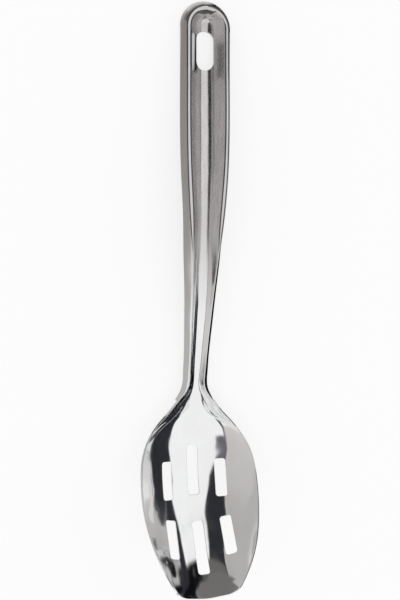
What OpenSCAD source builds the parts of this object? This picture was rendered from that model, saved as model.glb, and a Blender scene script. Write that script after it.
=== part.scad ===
// Slotted serving spoon pressed from one sheet of stainless steel.
// The spoon lies face up on a table, on the heel of its bowl and the end of its handle.
// Handle towards +Y, bowl towards -Y, mirrored left to right about the plane X = 0.
// All lengths are in millimetres.

/* [Spoon] */
// Length over everything, from the end of the handle to the tip of the bowl
overall_len = 346; // [300:1:400]
// Thickness of the steel sheet
sheet_t = 1.2; // [0.8:0.1:1.8]

/* [Grip] */
// Width of the grip over its two flat bands
grip_w = 25.7; // [22:0.1:30]
// Width of each flat band beside the trough
band_w = 2.8; // [2:0.1:3.5]
// Depth of the trough below the bands
trough_depth = 9.2; // [7:0.1:10]
// Height of the flange that is folded down along each side
flange_h = 7; // [5:0.1:9]
// How far the flanges lean outward over their height, beside the trough
flange_lean = 2.35; // [1.6:0.05:3.5]
// How far the flange leans outward at the very end
end_lean = 4.2; // [2.4:0.1:5]

/* [Neck] */
// Width over the crests at the narrowest place
neck_w = 9.6; // [8:0.1:13]
// Depth of the trough at the narrowest place
neck_depth = 4.4; // [3:0.1:6]
// How far each flange leans outward there
neck_lean = 3.3; // [2.4:0.1:4]
// Height of each flange where it ends, beside the bowl
flange_end_h = 5.6; // [4:0.1:7]

/* [Bowl] */
// Width inside the top edge of the rim at the widest place
bowl_w = 71.5; // [60:0.1:84]
// Length from the end of the flanges to the tip
bowl_len = 106; // [90:0.5:125]
// Greatest depth of the floor below the rim, measured upright
bowl_depth = 23.3; // [18:0.1:28]
// Width of the blunt tip between its two corners
tip_w = 22; // [18:0.5:28]
// Radius of the two corners of the tip
tip_corner_r = 14.5; // [10:0.5:17]
// How far the middle of the tip stands out past its corners
tip_bulge = 1.5; // [0.5:0.1:2.5]

/* [Side view] */
// Height of the bands above the table at the end of the handle
end_h = 8.45; // [8:0.05:12]
// Height of the bands at the top of the handle's arch
arch_h = 23.2; // [18:0.1:32]
// Height of the rim where it is lowest, beside the heel of the bowl
heel_h = 10.7; // [9.5:0.1:14]
// Height of the rim at the tip
tip_h = 59.5; // [48:0.5:66]

/* [Drain slots] */
// Width of each slot
slot_w = 7; // [5:0.1:8]
// Length of the two slots in the middle column
mid_slot_len = 31.5; // [24:0.5:33]
// Length of the four slots at the sides
side_slot_len = 23; // [18:0.5:26]
// Distance from the middle column to each side column
slot_pitch = 17.4; // [15:0.1:20]
// Distance from the tip to the centre of the upper slot in the middle
upper_mid_from_tip = 60.5; // [58:0.5:63]
// Distance from the tip to the centres of the upper slots at the sides
upper_side_from_tip = 56; // [53:0.5:59]
// Distance from the tip to the centre of the lower slot in the middle
lower_mid_from_tip = 21.2; // [20:0.1:22]
// Distance from the tip to the centres of the lower slots at the sides
lower_side_from_tip = 28; // [27:0.5:29]
// Radius of the corners of the slots
slot_corner_r = 1.6; // [0.8:0.1:2.4]

/* [Hanging slot] */
// Width of the slot in the trough
hang_w = 10.6; // [7:0.1:11]
// Length of the slot over its round ends
hang_len = 22.7; // [16:0.1:26]
// Distance from the end of the handle to the slot
hang_from_end = 17.2; // [16:0.1:20]

/* [Hidden] */
$fn = 48;
steel = [0.76, 0.76, 0.77];

// The flanges end where the bowl begins
handle_len = overall_len - bowl_len;
grip_mid = (grip_w - band_w) / 2;
neck_mid = neck_w / 2;
bowl_half = bowl_w / 2;
// The end of the handle is round about this place
cap_at = grip_w / 2 + end_lean;
// Where the grip ends and where the part with the hanging slot ends
neck_from = 0.6 * handle_len;
hang_end_to = hang_from_end + hang_len + cap_at / 4;
// How much the trough's walls steepen towards its edges
section_power = 2.35;
// Rounding of the creases in the grip, in the neck and along the bowl's rim
grip_crease = 0.18 * sheet_t;
neck_crease = 0.6 * sheet_t;
rim_crease = 0.08 * sheet_t;
// Length over which the rounded crease of the neck runs out into the bowl's rim
run_out = 10 * sheet_t;
// Sideways the drain cuts stand halfway between upright and square to the bowl's wall
cut_tilt_share = 0.5;
// A small step for slopes, and the overrun of every cut
step = sheet_t / 12;
overrun = 6 * sheet_t;

// Stations: first the share of the handle's or bowl's length, then the share of the size
handle_height_shares = [[0.2, 0.44], [0.367, 0.806], [0.545, 1], [0.723, 0.862], [0.891, 0.433]];
bowl_height_shares = [[0.262, 0.165], [0.594, 0.57], [0.767, 0.833], [0.92, 0.955]];
handle_depth_shares = [[0, 1], [0.325, 1], [0.56, 0.76], [0.745, 0.575]];
bowl_depth_shares = [[0.09, 0.34], [0.215, 0.58], [0.357, 0.82], [0.5, 0.97], [0.644, 1],
                     [0.767, 0.89], [0.864, 0.674], [0.914, 0.47], [0.96, 0.286], [1, 0.14]];
handle_width_shares = [[0, 1], [0.178, 1], [0.325, 0.995], [0.417, 0.895], [0.56, 0.556], [0.706, 0.278],
                       [0.85, 0.09]];
bowl_width_shares = [[0, 0.215], [0.053, 0.35], [0.162, 0.69], [0.26, 0.91], [0.41, 1], [0.55, 0.98],
                     [0.68, 0.88], [0.814, 0.675]];
lean_shares = [[0, 0], [0.2, -0.1], [0.42, -0.5], [0.53, -0.4], [0.62, 1.1], [0.71, 1.6],
               [0.81, 1.55], [0.9, 1.2], [0.96, 0.8], [1, -1.7]];
band_shares = [[0, 1], [0.42, 1], [0.56, 0.8], [0.64, 0.1], [1, 0.05]];

// A smooth curve through stations p, each [place, value], with no bend at its two ends
function sweep_down(p, i = 1, c = 0, d = 0, out = []) =
    i == len(p) - 1 ? out :
    let (h0 = p[i][0] - p[i - 1][0], h1 = p[i + 1][0] - p[i][0],
         r = 6 * ((p[i + 1][1] - p[i][1]) / h1 - (p[i][1] - p[i - 1][1]) / h0),
         k = 2 * (h0 + h1) - h0 * c, c1 = h1 / k, d1 = (r - h0 * d) / k)
    sweep_down(p, i + 1, c1, d1, concat(out, [[c1, d1]]));
function sweep_up(cd, i, m = 0, out = []) =
    i < 0 ? out : let (m0 = cd[i][1] - cd[i][0] * m) sweep_up(cd, i - 1, m0, concat([m0], out));
function bends(p) = let (cd = sweep_down(p)) concat([0], sweep_up(cd, len(cd) - 1), [0]);
function span_of(p, x, i = 0) = i >= len(p) - 2 || x < p[i + 1][0] ? i : span_of(p, x, i + 1);
function along(curve, x) =
    let (p = curve[0], m = curve[1], i = span_of(p, x), h = p[i + 1][0] - p[i][0],
         a = (p[i + 1][0] - x) / h, b = (x - p[i][0]) / h)
    a * p[i][1] + b * p[i + 1][1] + ((pow(a, 3) - a) * m[i] + (pow(b, 3) - b) * m[i + 1]) * h * h / 6;
function smooth(p) = [p, bends(p)];

// Places and values of the stations, from the handle's end
function in_handle(shares, low, high) =
    [for (p = shares) [p[0] * handle_len, low + p[1] * (high - low)]];
function in_bowl(shares, low, high) =
    [for (p = shares) [handle_len + p[0] * bowl_len, low + p[1] * (high - low)]];
height_curve = smooth(concat([[0, end_h]], in_handle(handle_height_shares, end_h, arch_h),
    [[handle_len, heel_h], [handle_len + 0.125 * bowl_len, heel_h]],
    in_bowl(bowl_height_shares, heel_h, tip_h), [[overall_len, tip_h]]));
depth_curve = smooth(concat(in_handle(handle_depth_shares, 0, trough_depth),
    [[0.912 * handle_len, neck_depth], [handle_len, 1.23 * neck_depth]],
    in_bowl(bowl_depth_shares, 0, bowl_depth)));
lean_curve = smooth(in_handle(lean_shares, flange_lean, neck_lean));
band_curve = smooth(in_handle(band_shares, 0, band_w / 2));
flange_curve = smooth([[0, flange_h], [0.93 * handle_len, flange_h], [handle_len, flange_end_h]]);

// The tip: its top edge stands back from the outermost point, and a corner arc leads to each side
tip_at = overall_len - 0.7 * sheet_t;
tip_half = tip_w / 2;
tip_angle = atan(2 * tip_bulge / tip_half);
side_angle = 32;
corner_x = tip_half - tip_corner_r * sin(tip_angle);
corner_s = tip_at - tip_bulge - tip_corner_r * cos(tip_angle);
corner_from = corner_s + tip_corner_r * sin(side_angle);
corner_half = corner_x + tip_corner_r * cos(side_angle);
side_end = corner_half - (overall_len - corner_from) * tan(side_angle);
width_curve = smooth(concat(in_handle(handle_width_shares, neck_mid, grip_mid),
    [[0.923 * handle_len, neck_mid], [0.97 * handle_len, 1.31 * neck_mid]],
    in_bowl(bowl_width_shares, neck_mid, bowl_half),
    [[corner_from, corner_half], [overall_len, side_end]]));

// Half width to the crest of the section, half band on each side of it, and rounding of the crest
function crest(s) = along(width_curve, s);
function half_band(s) = along(band_curve, min(s, handle_len));
function crease(s) = s < handle_len ?
    neck_crease + (grip_crease - neck_crease) * along(band_curve, s) / (band_w / 2) :
    max(rim_crease, neck_crease * (1 - (s - handle_len) / run_out));
function face(s) = along(height_curve, s);
function depth(s) = along(depth_curve, s);
function lean(s) = along(lean_curve, min(s, handle_len));
function drop(s) = along(flange_curve, min(s, handle_len));

// Soft minimum of several heights, rounded over about r
function soft_min(v, r) =
    let (low = min(v)) low - r * ln([for (a = v) exp((low - a) / r)] * [for (a = v) 1]);

// Heights at distance x from the middle plane, before and after the creases are rounded
function trough(x, s) =
    face(s) - depth(s) * (1 - pow(abs(x) / (crest(s) - half_band(s)), section_power));
function flange(x, s) = face(s) - (abs(x) - crest(s) - half_band(s)) * drop(s) / lean(s);
function top_z(x, s) = soft_min([trough(x, s), face(s), flange(x, s)], crease(s));

// Slopes of the trough and of the flange, and how much higher than square a sheet stands there
function trough_x(x, s) = (trough(x + step, s) - trough(x - step, s)) / (2 * step);
function trough_s(x, s) = (trough(x, s + step) - trough(x, s - step)) / (2 * step);
function flange_x(s) = drop(s) / lean(s);
function flange_s(x, s) = (flange(x, s + step) - flange(x, s - step)) / (2 * step);
function upright(a, b) = sqrt(1 + a * a + b * b);
function trough_up(x, s) = upright(trough_x(x, s), trough_s(x, s));
function flange_up(x, s) = upright(flange_x(s), flange_s(x, s));
function under_z(x, s) =
    min(trough(x, s) - sheet_t * trough_up(x, s), face(s) - sheet_t,
        flange(x, s) - sheet_t * flange_up(x, s));

// Distances from the middle plane of the lines that a handle section is drawn with
line_shares = [0, 0.2, 0.4, 0.58, 0.74, 0.88, 1];
function outer(s) = crest(s) + half_band(s) + lean(s);
function top_lines(s) =
    let (c = crest(s), b = half_band(s), k = crease(s), f = min(k, 0.3 * lean(s)))
    concat([for (t = line_shares) t * (c - b - 2.2 * k)],
           [c - b - k, c - 0.9 * b, c + 0.9 * b, c + b + f, c + b + 2.2 * f, outer(s)]);
function under_lines(s) =
    let (c = crest(s), b = half_band(s), wall = trough_x(c - b, s), fold = flange_x(s),
         nw = trough_up(c - b, s), nf = flange_up(c + b, s),
         meet = (wall * (c - b) + fold * (c + b) - sheet_t * (nf - nw)) / (wall + fold),
         a = min(meet, c - b + sheet_t * (nw - 1) / wall),
         z = max(meet, c + b - sheet_t * (nf - 1) / fold),
         gap = sheet_t / 3)
    concat([for (t = line_shares) t * (a - 2 * gap)],
           [a - gap, a - gap / 8, z + gap / 8, z + gap, z + 2 * gap, outer(s) - sheet_t * nf / fold]);

// A row of points right across the handle
function row(s, xs, top) = let (n = len(xs))
    [for (i = [1 - n:n - 1]) let (x = sign(i) * xs[abs(i)])
        [x, overall_len / 2 - s, top ? top_z(x, s) : under_z(x, s)]];

// Half a row, turned about the cap's centre, with its flange leaning further out towards the end
function turned_row(s, xs, angle, top) =
    let (pivot = xs[top ? 9 : 10], last = xs[len(xs) - 1],
         more = (end_lean - flange_lean) * sin(angle))
    [for (x = xs)
        let (r = x + more * max(0, x - pivot) / (last - pivot), ps = s - r * sin(angle),
             lift = face(ps) - face(s))
        [r * cos(angle), overall_len / 2 - ps, lift + (top ? top_z(x, s) : under_z(x, s))]];

// One closed sheet between rows of points over it and rows of points under it
function joined(rows) = [for (row = rows) for (p = row) p];
module sheet(over, under, halves = false) {
    n = len(over[0]);
    m = len(over);
    below = n * m;
    function id(i, j) = i * n + j;
    function both(a, b, c, d) = [[a, b, c], [a, c, d]];
    across = [0:n - 2];
    lengthwise = [0:m - 2];
    quads = concat(
        [for (i = lengthwise) for (j = across)
            both(id(i, j), id(i, j + 1), id(i + 1, j + 1), id(i + 1, j))],
        [for (i = lengthwise) for (j = across)
            both(below + id(i, j), below + id(i + 1, j), below + id(i + 1, j + 1), below + id(i, j + 1))],
        [for (i = lengthwise)
            both(id(i, n - 1), below + id(i, n - 1), below + id(i + 1, n - 1), id(i + 1, n - 1))],
        [for (i = halves ? [] : lengthwise)
            both(id(i, 0), id(i + 1, 0), below + id(i + 1, 0), below + id(i, 0))],
        [for (j = across) both(id(0, j), below + id(0, j), below + id(0, j + 1), id(0, j + 1))],
        [for (j = across)
            both(id(m - 1, j), id(m - 1, j + 1), below + id(m - 1, j + 1), below + id(m - 1, j))]);
    polyhedron(points = concat(joined(over), joined(under)), faces = joined(quads), convexity = 10);
}

// Places of the rows between two places along the spoon
function places(from, to, gap) =
    let (n = ceil((to - from) / gap)) [for (i = [0:n]) from + (to - from) * i / n];

module flanged_length(from, to, gap = 4 * sheet_t) {
    at = places(from, to, gap);
    sheet([for (s = at) row(s, top_lines(s), true)], [for (s = at) row(s, under_lines(s), false)]);
}

// A row of points across the bowl, bowed towards the tip, on the sheet's top or square under it
bowl_shares = [for (i = [0:12]) 1 - pow(1 - i / 12, 1.25)];
function rim_half(s) =
    s <= corner_from ? crest(s) : corner_x + sqrt(pow(tip_corner_r, 2) - pow(s - corner_s, 2));
function bow(s) =
    tip_bulge * pow(max(0, (s - corner_from) / (tip_at - tip_bulge - corner_from)), 2);
function bowl_point(x, s, top) =
    let (zx = trough_x(x, s), zs = trough_s(x, s), n = upright(zx, zs),
         q = min(1, (s - handle_len) / run_out), t = top ? 0 : sheet_t,
         flat = n / (1 + zx * zx), side = t * (q / n + (1 - q) * flat))
    [x + zx * side, overall_len / 2 - s - t * q * zs / n, top_z(x, s) - side];
function bowl_row(s, top) = let (w = rim_half(s), n = len(bowl_shares))
    [for (i = [1 - n:n - 1]) let (x = sign(i) * bowl_shares[abs(i)] * w)
        bowl_point(x, s + bow(s) * (1 - pow(x / w, 2)), top)];

// A slot outline, long along Y, with its own corner radius at each end
module slot_outline(l, r_far, r_near) {
    for (end = [[0, r_far], [1, r_near]]) {
        r = end[1];
        mirror([0, end[0], 0]) {
            translate([-slot_w / 2, 0]) square([slot_w, l / 2 - r]);
            translate([r - slot_w / 2, 0]) square([slot_w - 2 * r, l / 2]);
            for (side = [-1, 1]) translate([side * (slot_w / 2 - r), l / 2 - r]) circle(r);
        }
    }
}

// A cut through the bowl's floor, centred at distance x from the middle plane and s from the handle's end
module drain_cut(x, s, l, r_far = slot_corner_r) {
    rise = atan(-trough_s(x, s));
    tilt = cut_tilt_share * atan(-trough_x(x, s) * cos(rise));
    translate([x, overall_len / 2 - s, trough(x, s)])
        rotate([rise, 0, 0]) rotate([0, tilt, 0]) translate([0, 0, -overrun])
            linear_extrude(2 * overrun) slot_outline(l, r_far, slot_corner_r);
}

module bowl() {
    body = places(handle_len, corner_from, 2.4 * sheet_t);
    arc = places(side_angle, 90 - tip_angle, 7);
    at = concat(body, [for (i = [1:len(arc) - 1]) corner_s + tip_corner_r * sin(arc[i])]);
    color(steel) difference() {
        sheet([for (s = at) bowl_row(s, true)], [for (s = at) bowl_row(s, false)]);
        drain_cut(0, overall_len - upper_mid_from_tip, mid_slot_len, slot_w * 0.42);
        drain_cut(0, overall_len - lower_mid_from_tip, mid_slot_len);
        for (side = [-1, 1]) {
            drain_cut(side * slot_pitch, overall_len - upper_side_from_tip, side_slot_len);
            drain_cut(side * slot_pitch, overall_len - lower_side_from_tip, side_slot_len);
        }
    }
}

module neck() {
    color(steel) flanged_length(neck_from, handle_len, 3.2 * sheet_t);
}

module grip() {
    color(steel) flanged_length(hang_end_to, neck_from);
}

module hanging_end() {
    straight = places(cap_at, hang_end_to, 4 * sheet_t);
    path = concat([for (i = [len(straight) - 1:-1:1]) [straight[i], 0]],
                  [for (a = [0:12:180]) [cap_at, a]],
                  [for (i = [1:len(straight) - 1]) [straight[i], 180]]);
    color(steel) difference() {
        sheet([for (p = path) turned_row(p[0], top_lines(p[0]), p[1], true)],
              [for (p = path) turned_row(p[0], under_lines(p[0]), p[1], false)], halves = true);
        for (end = [hang_from_end + hang_w / 2, hang_from_end + hang_len - hang_w / 2])
            translate([0, overall_len / 2 - end, 0]) cylinder(d = hang_w, h = arch_h);
        translate([-hang_w / 2, overall_len / 2 - hang_from_end - hang_len + hang_w / 2, 0])
            cube([hang_w, hang_len - hang_w, arch_h]);
    }
}

bowl();
neck();
grip();
hanging_end();
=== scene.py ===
import math

import bpy
import numpy as np
from bpy.props import FloatProperty, FloatVectorProperty, IntProperty, PointerProperty
from mathutils import Matrix, Vector
from mathutils.geometry import delaunay_2d_cdt


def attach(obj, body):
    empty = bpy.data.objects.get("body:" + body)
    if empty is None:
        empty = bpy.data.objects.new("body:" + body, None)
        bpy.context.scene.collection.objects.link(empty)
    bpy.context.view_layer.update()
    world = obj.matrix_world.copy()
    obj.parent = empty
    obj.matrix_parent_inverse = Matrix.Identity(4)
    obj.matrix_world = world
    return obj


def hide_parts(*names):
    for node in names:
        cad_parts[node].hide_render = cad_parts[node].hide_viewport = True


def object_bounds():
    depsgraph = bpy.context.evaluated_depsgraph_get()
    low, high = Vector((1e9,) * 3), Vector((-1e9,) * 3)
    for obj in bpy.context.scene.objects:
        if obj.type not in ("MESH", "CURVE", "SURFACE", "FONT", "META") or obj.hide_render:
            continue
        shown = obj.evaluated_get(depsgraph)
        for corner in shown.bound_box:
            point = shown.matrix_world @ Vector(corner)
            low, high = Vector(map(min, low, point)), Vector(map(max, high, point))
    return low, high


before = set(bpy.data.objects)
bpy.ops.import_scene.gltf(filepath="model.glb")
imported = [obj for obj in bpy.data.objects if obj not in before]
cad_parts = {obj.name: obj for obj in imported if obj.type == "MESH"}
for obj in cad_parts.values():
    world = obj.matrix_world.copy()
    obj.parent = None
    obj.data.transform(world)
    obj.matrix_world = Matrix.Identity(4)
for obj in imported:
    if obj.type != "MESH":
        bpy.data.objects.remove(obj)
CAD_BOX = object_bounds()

bl_info = {
    "name": "Slotted serving spoon",
    "version": (1, 0, 0),
    "blender": (4, 5, 0),
    "location": "View3D > Sidebar > Spoon",
    "description": "Builds a slotted serving spoon pressed from one steel sheet, and its studio",
    "category": "Object",
}

MM = 0.001
# A length too short to see, for slopes and margins
STEP = 0.001 * MM
# Where the painted dark reflection lines lie, outward from the band's edges
INNER_LINE, OUTER_LINE, NECK_LINE, SLOT_LINE = 0.35 * MM, -0.35 * MM, -2.2 * MM, -2.1 * MM


def length(name, text, value):
    return FloatProperty(name=name, description=text, default=value * MM, unit="LENGTH", precision=5)


def colour_choice(name, text, value):
    return FloatVectorProperty(name=name, description=text, default=value, subtype="COLOR",
                               size=3, min=0, max=1)


class SpoonSizes(bpy.types.PropertyGroup):
    """Sizes of the pressed sheet."""
    overall_len: length("Overall length", "Length from the handle's end to the tip", 346)
    sheet_t: length("Sheet thickness", "Thickness of the steel sheet", 1.2)
    edge_r: length("Edge rounding", "Radius of the tumbled edges", 0.26)
    grip_w: length("Grip width", "Width across the grip's crests", 25.7)
    band_w: length("Band width", "Width of the flat band on the grip's crest", 2.8)
    trough_depth: length("Trough depth", "Depth of the trough in the grip", 9.2)
    flange_h: length("Flange height", "Height of the side flanges", 7)
    flange_lean: length("Flange lean", "How far the flanges lean out", 2.35)
    end_lean: length("End lean", "How far the flange leans out at the handle's end", 4.2)
    neck_w: length("Neck width", "Width across the neck's crests", 9.6)
    neck_depth: length("Neck depth", "Depth of the trough in the neck", 4.4)
    neck_lean: length("Neck lean", "How far the flanges lean out at the neck", 3.3)
    flange_end_h: length("Flange end height", "Height of the flanges at the bowl", 5.6)
    bowl_w: length("Bowl width", "Width of the bowl", 71.5)
    bowl_len: length("Bowl length", "Length of the bowl", 106)
    bowl_depth: length("Bowl depth", "Depth of the bowl under its rim", 23.3)
    tip_w: length("Tip width", "Width of the tip's edge", 22)
    tip_corner_r: length("Tip corners", "Radius of the tip's corners", 14.5)
    tip_bulge: length("Tip bulge", "How far the tip's edge bulges", 1.5)
    end_h: length("End height", "Height of the handle's end", 8.45)
    arch_h: length("Arch height", "Height of the handle's arch", 23.2)
    heel_h: length("Heel height", "Height of the bowl's heel", 10.7)
    tip_h: length("Tip height", "Height of the tip", 59.5)
    slot_w: length("Slot width", "Width of the drain slots", 7)
    mid_slot_len: length("Middle slots", "Length of the slots in the middle", 31.5)
    side_slot_len: length("Side slots", "Length of the slots at the sides", 23)
    slot_pitch: length("Slot pitch", "Distance between the columns of slots", 17.4)
    upper_mid: length("Upper middle slot", "Distance from the tip to its centre", 60.5)
    upper_side: length("Upper side slots", "Distance from the tip to their centres", 56)
    lower_mid: length("Lower middle slot", "Distance from the tip to its centre", 21.2)
    lower_side: length("Lower side slots", "Distance from the tip to their centres", 28)
    slot_corner_r: length("Slot corners", "Radius of the drain slots' corners", 1.6)
    hang_w: length("Hanging slot width", "Width of the hanging slot", 10.6)
    hang_len: length("Hanging slot length", "Length of the hanging slot", 22.7)
    hang_from_end: length("Hanging slot place", "Distance from the handle's end", 17.2)
    row_gap: length("Row gap", "Distance between the mesh's rows", 0.8)
    half_lines: IntProperty(name="Lines", description="Mesh lines from the middle to the edge", min=20,
                            default=46)


class SpoonFinish(bpy.types.PropertyGroup):
    """Colours and strengths of the finishes."""
    polished_colour: colour_choice("Polished steel", "Colour of the polished steel", (0.86, 0.865, 0.87))
    brushed_colour: colour_choice("Brushed steel", "Colour of the brushed steel", (0.665, 0.65, 0.645))
    floor_colour: colour_choice("Floor", "Colour of the floor", (0.93, 0.93, 0.93))
    lamp_level: FloatProperty(name="Lamp level", description="Strength of the soft light", default=1.0, min=0)


class Form:
    """The pressed sheet's heights, widths and edges at distance s from the handle's end."""

    def __init__(self, size):
        self.size = size
        total, t = size.overall_len, size.sheet_t
        self.total, self.t = total, t
        self.handle_len = handle = total - size.bowl_len
        self.cap_at = size.grip_w / 2 + size.end_lean
        self.neck_from = 0.6 * handle
        self.hang_end_to = size.hang_from_end + size.hang_len + self.cap_at / 4
        # Power of the trough's curve across the spoon, where 2 would be a parabola
        self.power = 2.35
        self.grip_crease, self.neck_crease, self.rim_crease = 0.36 * t, 0.6 * t, 0.08 * t
        self.under_crease = t / 6
        # How far into the bowl the handle's crease gives way to the rim's, and its under side to the bowl's
        self.run_out = 10 * t
        grip_mid = (size.grip_w - size.band_w) / 2
        neck_mid, bowl_half = size.neck_w / 2, size.bowl_w / 2

        def in_handle(shares, low, high):
            return [[a * handle, low + b * (high - low)] for a, b in shares]

        def in_bowl(shares, low, high):
            return [[handle + a * size.bowl_len, low + b * (high - low)] for a, b in shares]

        self.face = smooth_curve(
            [[0, size.end_h]]
            + in_handle([[0.2, 0.44], [0.367, 0.806], [0.545, 1], [0.723, 0.862], [0.891, 0.433]],
                        size.end_h, size.arch_h)
            + [[handle, size.heel_h], [handle + 0.125 * size.bowl_len, size.heel_h]]
            + in_bowl([[0.262, 0.165], [0.594, 0.57], [0.767, 0.833], [0.92, 0.955]], size.heel_h, size.tip_h)
            + [[total, size.tip_h]])
        self.depth = smooth_curve(
            in_handle([[0, 1], [0.325, 1], [0.56, 0.76], [0.745, 0.575]], 0, size.trough_depth)
            + [[0.912 * handle, size.neck_depth], [handle, 1.23 * size.neck_depth]]
            + in_bowl([[0.09, 0.34], [0.215, 0.58], [0.357, 0.82], [0.5, 0.97], [0.644, 1], [0.767, 0.89],
                       [0.864, 0.674], [0.914, 0.47], [0.96, 0.286], [1, 0.14]], 0, size.bowl_depth))
        lean = smooth_curve(in_handle(
            [[0, 0], [0.2, -0.1], [0.42, -0.5], [0.53, -0.4], [0.62, 1.1], [0.71, 1.6], [0.81, 1.55],
             [0.9, 1.2], [0.96, 0.8], [1, -1.7]], size.flange_lean, size.neck_lean))
        band = smooth_curve(in_handle(
            [[0, 1], [0.42, 1], [0.56, 0.8], [0.64, 0.1], [1, 0.05]], 0, size.band_w / 2))
        drop = smooth_curve([[0, size.flange_h], [0.93 * handle, size.flange_h], [handle, size.flange_end_h]])

        def on_handle(curve):
            return lambda s: curve(np.minimum(s, handle))
        self.lean, self.band, self.drop = on_handle(lean), on_handle(band), on_handle(drop)
        self.tip_at = total - 0.7 * t
        self.tip_half = size.tip_w / 2
        self.tip_angle = math.atan(2 * size.tip_bulge / self.tip_half)
        self.side_angle = math.radians(32)
        r = size.tip_corner_r
        self.corner_x = self.tip_half - r * math.sin(self.tip_angle)
        self.corner_s = self.tip_at - size.tip_bulge - r * math.cos(self.tip_angle)
        self.corner_from = self.corner_s + r * math.sin(self.side_angle)
        corner_half = self.corner_x + r * math.cos(self.side_angle)
        side_end = corner_half - (total - self.corner_from) * math.tan(self.side_angle)
        self.crest = smooth_curve(
            in_handle([[0, 1], [0.178, 1], [0.325, 0.995], [0.417, 0.895], [0.56, 0.556], [0.706, 0.278],
                       [0.85, 0.09]], neck_mid, grip_mid)
            + [[0.923 * handle, neck_mid], [0.97 * handle, 1.31 * neck_mid]]
            + in_bowl([[0, 0.215], [0.053, 0.35], [0.162, 0.69], [0.26, 0.91], [0.41, 1], [0.55, 0.98],
                       [0.68, 0.88], [0.814, 0.675]], neck_mid, bowl_half)
            + [[self.corner_from, corner_half], [total, side_end]])

    def rows(self):
        """Places of the mesh's rows along the handle, from the round end's centre to the bowl."""
        count = round((self.handle_len - self.cap_at) / self.size.row_gap)
        return np.linspace(self.cap_at, self.handle_len, count + 1)

    def crease(self, s):
        """How softly the sheet folds at its crests."""
        full = self.size.band_w / 2
        here = self.neck_crease + (self.grip_crease - self.neck_crease) * self.band(s) / full
        fade = 1 - (s - self.handle_len) / self.run_out
        return np.where(s < self.handle_len, here, np.maximum(self.rim_crease, here * fade))

    def trough(self, x, s):
        inner = self.crest(s) - self.band(s)
        return self.face(s) - self.depth(s) * (1 - (np.abs(x) / inner) ** self.power)

    def trough_slopes(self, x, s):
        gap = 0.1 * self.t
        across = (self.trough(x + gap, s) - self.trough(x - gap, s)) / (2 * gap)
        along = (self.trough(x, s + gap) - self.trough(x, s - gap)) / (2 * gap)
        return across, along

    def flange(self, x, s):
        return self.face(s) - (np.abs(x) - self.crest(s) - self.band(s)) * self.drop(s) / self.lean(s)

    def section_top(self, x, s):
        return soft_min([self.trough(x, s), self.face(s) + 0 * x, self.flange(x, s)], self.crease(s))

    def section_under(self, x, s):
        gap, t = 0.1 * self.t, self.t
        zx, zs = self.trough_slopes(x, s)
        fold = self.drop(s) / self.lean(s)
        fs = (self.flange(x, s + gap) - self.flange(x, s - gap)) / (2 * gap)
        sheets = [self.trough(x, s) - t * np.sqrt(1 + zx ** 2 + zs ** 2), self.face(s) - t + 0 * x,
                  self.flange(x, s) - t * np.sqrt(1 + fold ** 2 + fs ** 2)]
        return soft_min(sheets, self.under_crease)

    def outer(self, s):
        return self.crest(s) + self.band(s) + self.lean(s)

    def under_outer(self, s):
        fold = self.drop(s) / self.lean(s)
        return self.outer(s) - self.t * np.sqrt(1 + fold ** 2) / fold

    def edge_inset(self, s):
        fold = self.drop(s) / self.lean(s)
        return self.size.edge_r / np.sqrt(1 + fold ** 2)

    def turn(self, top):
        """Where the flange starts to lean further in the round end, and how wide it is there."""
        s = self.cap_at
        if top:
            pivot, last = self.crest(s) + 0.9 * self.band(s), self.outer(s)
        else:
            pivot, last = self.crest(s) + self.band(s) - 0.5 * self.t, self.under_outer(s)
        return float(pivot), float(last - pivot)

    def turned(self, x, sin_angle, top):
        """Distance from the round end's centre at which line x of its section stands."""
        pivot, width = self.turn(top)
        more = (self.size.end_lean - self.size.flange_lean) * sin_angle
        return x + more * np.maximum(0, x - pivot) / width

    def end_reach(self, x, back):
        """Distance from the round end's centre, with the trough's floor drawn out towards its end wall."""
        floor_power, wall_power = 2.8, 5
        reach = np.hypot(x, back)
        inner = self.crest(self.cap_at) - self.band(self.cap_at)
        share = np.minimum(reach / inner, 1)
        drawn = np.hypot(x, inner * (back / inner) ** floor_power)
        less = 1 - drawn / np.maximum(reach, STEP)
        return reach * (1 - less * (1 - share ** wall_power))

    def height(self, x, s, top=True):
        """Height of the handle's upper or under side over a place in plan."""
        capped = s < self.cap_at
        back = np.maximum(self.cap_at - s, 0)
        reach = self.end_reach(x, back)
        pivot, width = self.turn(top)
        more = (self.size.end_lean - self.size.flange_lean) * back / np.maximum(reach, STEP)
        line = np.where(reach > pivot, pivot + (reach - pivot) / (1 + more / width), reach)
        section = self.section_top if top else self.section_under
        at = np.maximum(s, self.cap_at)
        lift = np.where(capped, self.face(s) - self.face(self.cap_at), 0)
        return section(np.where(capped, line, np.abs(x)), at) + lift

    def bowl_foot(self, x, s):
        """The sheet's offset at place x, s: how far its under side moves across, along and down."""
        zx, zs = self.trough_slopes(x, s)
        up = np.sqrt(1 + zx ** 2 + zs ** 2)
        q = np.clip((s - self.handle_len) / self.run_out, 0, 1)
        side = self.t * (q / up + (1 - q) * up / (1 + zx ** 2))
        return zx * side, self.t * q * zs / up, side

    def bowl_under(self, x, s):
        """Height of the bowl's under side, from the place on the upper side whose foot lies at x, s."""
        tries, held = 14, 0.3
        fx, fs = x, s
        for _ in range(tries):
            across, along, side = self.bowl_foot(fx, fs)
            fx, fs = held * fx + (1 - held) * (x - across), held * fs + (1 - held) * (s - along)
        across, along, side = self.bowl_foot(fx, fs)
        return self.section_top(fx, fs) - side

    def to_world(self, x, s, z):
        return np.stack([x, self.total / 2 - s, z], -1)


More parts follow.
